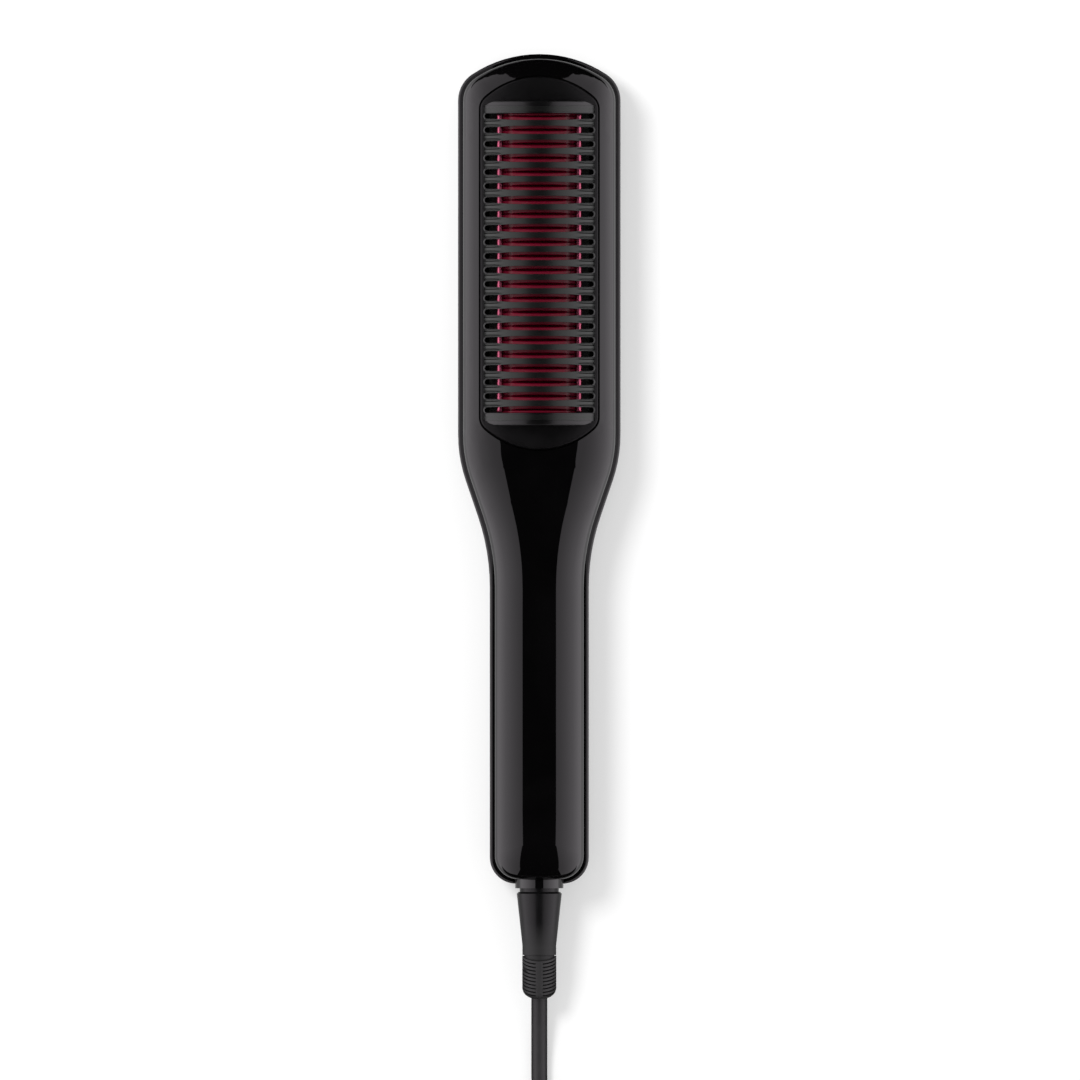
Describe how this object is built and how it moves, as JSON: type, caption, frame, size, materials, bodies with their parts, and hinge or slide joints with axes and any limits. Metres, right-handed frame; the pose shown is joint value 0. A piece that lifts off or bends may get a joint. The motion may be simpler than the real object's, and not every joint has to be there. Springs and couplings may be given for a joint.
{
  "type": "hot comb",
  "caption": "Electric hot comb: ribbed insulating guard over a finned heater, moulded two-part housing, rear display and buttons, and a swivel power cord with a plug.",
  "frame": {"origin": "under the middle of the comb and its swivel sleeve, on the plane its back rests on", "axes": "+Y along the comb to the head's tip, +Z out of the comb face, +X to its right"},
  "size_m": [0.0779, 0.5275, 0.036],
  "materials": {
    "gloss_black": "high-gloss moulded black",
    "satin_black": "satin heat-resistant black",
    "burgundy_heater": "burgundy ceramic coating on aluminium",
    "boot_black": "matte flexible black",
    "cord_black": "matte black jacket",
    "brown_phenolic": "heat-resistant moulding",
    "white_alumina": "sintered",
    "mica": "pressed sheet",
    "spring_steel": "rolled strip",
    "zinc_steel": "zinc-plated screws",
    "brass": "plain",
    "smoke_lens": "smoked window",
    "board_green": "printed circuit laminate",
    "component_black": "moulded component",
    "component_yellow": "boxed film capacitor",
    "can_blue": "sleeved can",
    "glass_bead": "sealed bead",
    "lead_white": "silicone lead",
    "lead_red": "fine lead",
    "strap_black": "woven strap"
  },
  "bodies": {
    "comb": {"front_shell": "gloss_black", "rear_shell": "gloss_black", "shell_screws": "zinc_steel", "comb_guard": "satin_black", "guard_ribs": "satin_black", "heater_plate": "burgundy_heater", "heater_fins": "burgundy_heater", "heater_carrier": "brown_phenolic", "ceramic_heater": "white_alumina", "mica_sheet": "mica", "clamp_spring": "spring_steel", "thermal_fuse": "zinc_steel", "thermistor": "glass_bead", "heater_screws": "zinc_steel", "heater_leads": "lead_white", "sensor_leads": "lead_red", "control_bezel": "satin_black", "display_lens": "smoke_lens", "display_module": "component_black", "tact_switches": "component_black", "control_board": "board_green", "board_screws": "zinc_steel", "film_capacitor": "component_yellow", "smoothing_capacitor": "can_blue", "triac": "component_black", "board_fuse": "component_black", "microcontroller": "component_black", "supply_leads": "lead_white", "swivel_collar": "gloss_black", "contact_block": "brown_phenolic", "contact_springs": "brass", "cord_guard": "boot_black", "cord_run": "cord_black", "cord_coil": "cord_black", "cord_tail": "cord_black", "cord_tie": "strap_black", "plug_body": "boot_black", "plug_blades": "brass"},
    "swivel": {"swivel_sleeve": "boot_black", "slip_rings": "brass"},
    "power_key": {"power_button": "satin_black", "power_plunger": "component_black"},
    "warmer_key": {"temperature_up_button": "satin_black", "temperature_up_plunger": "component_black"},
    "cooler_key": {"temperature_down_button": "satin_black", "temperature_down_plunger": "component_black"}
  },
  "joints": [
    {"name": "cord_swivel", "type": "hinge", "parent": "comb", "child": "swivel", "pos_m": [0, -0.13, 0.014], "axis": [0, 1, 0], "continuous": true},
    {"name": "power_press", "type": "slide", "parent": "comb", "child": "power_key", "axis": [0, 0, 1], "range_m": [0, 0.0005], "stiffness_N_per_m": 400},
    {"name": "warmer_press", "type": "slide", "parent": "comb", "child": "warmer_key", "axis": [0, 0, 1], "range_m": [0, 0.0005], "stiffness_N_per_m": 400},
    {"name": "cooler_press", "type": "slide", "parent": "comb", "child": "cooler_key", "axis": [0, 0, 1], "range_m": [0, 0.0005], "stiffness_N_per_m": 400}
  ]
}
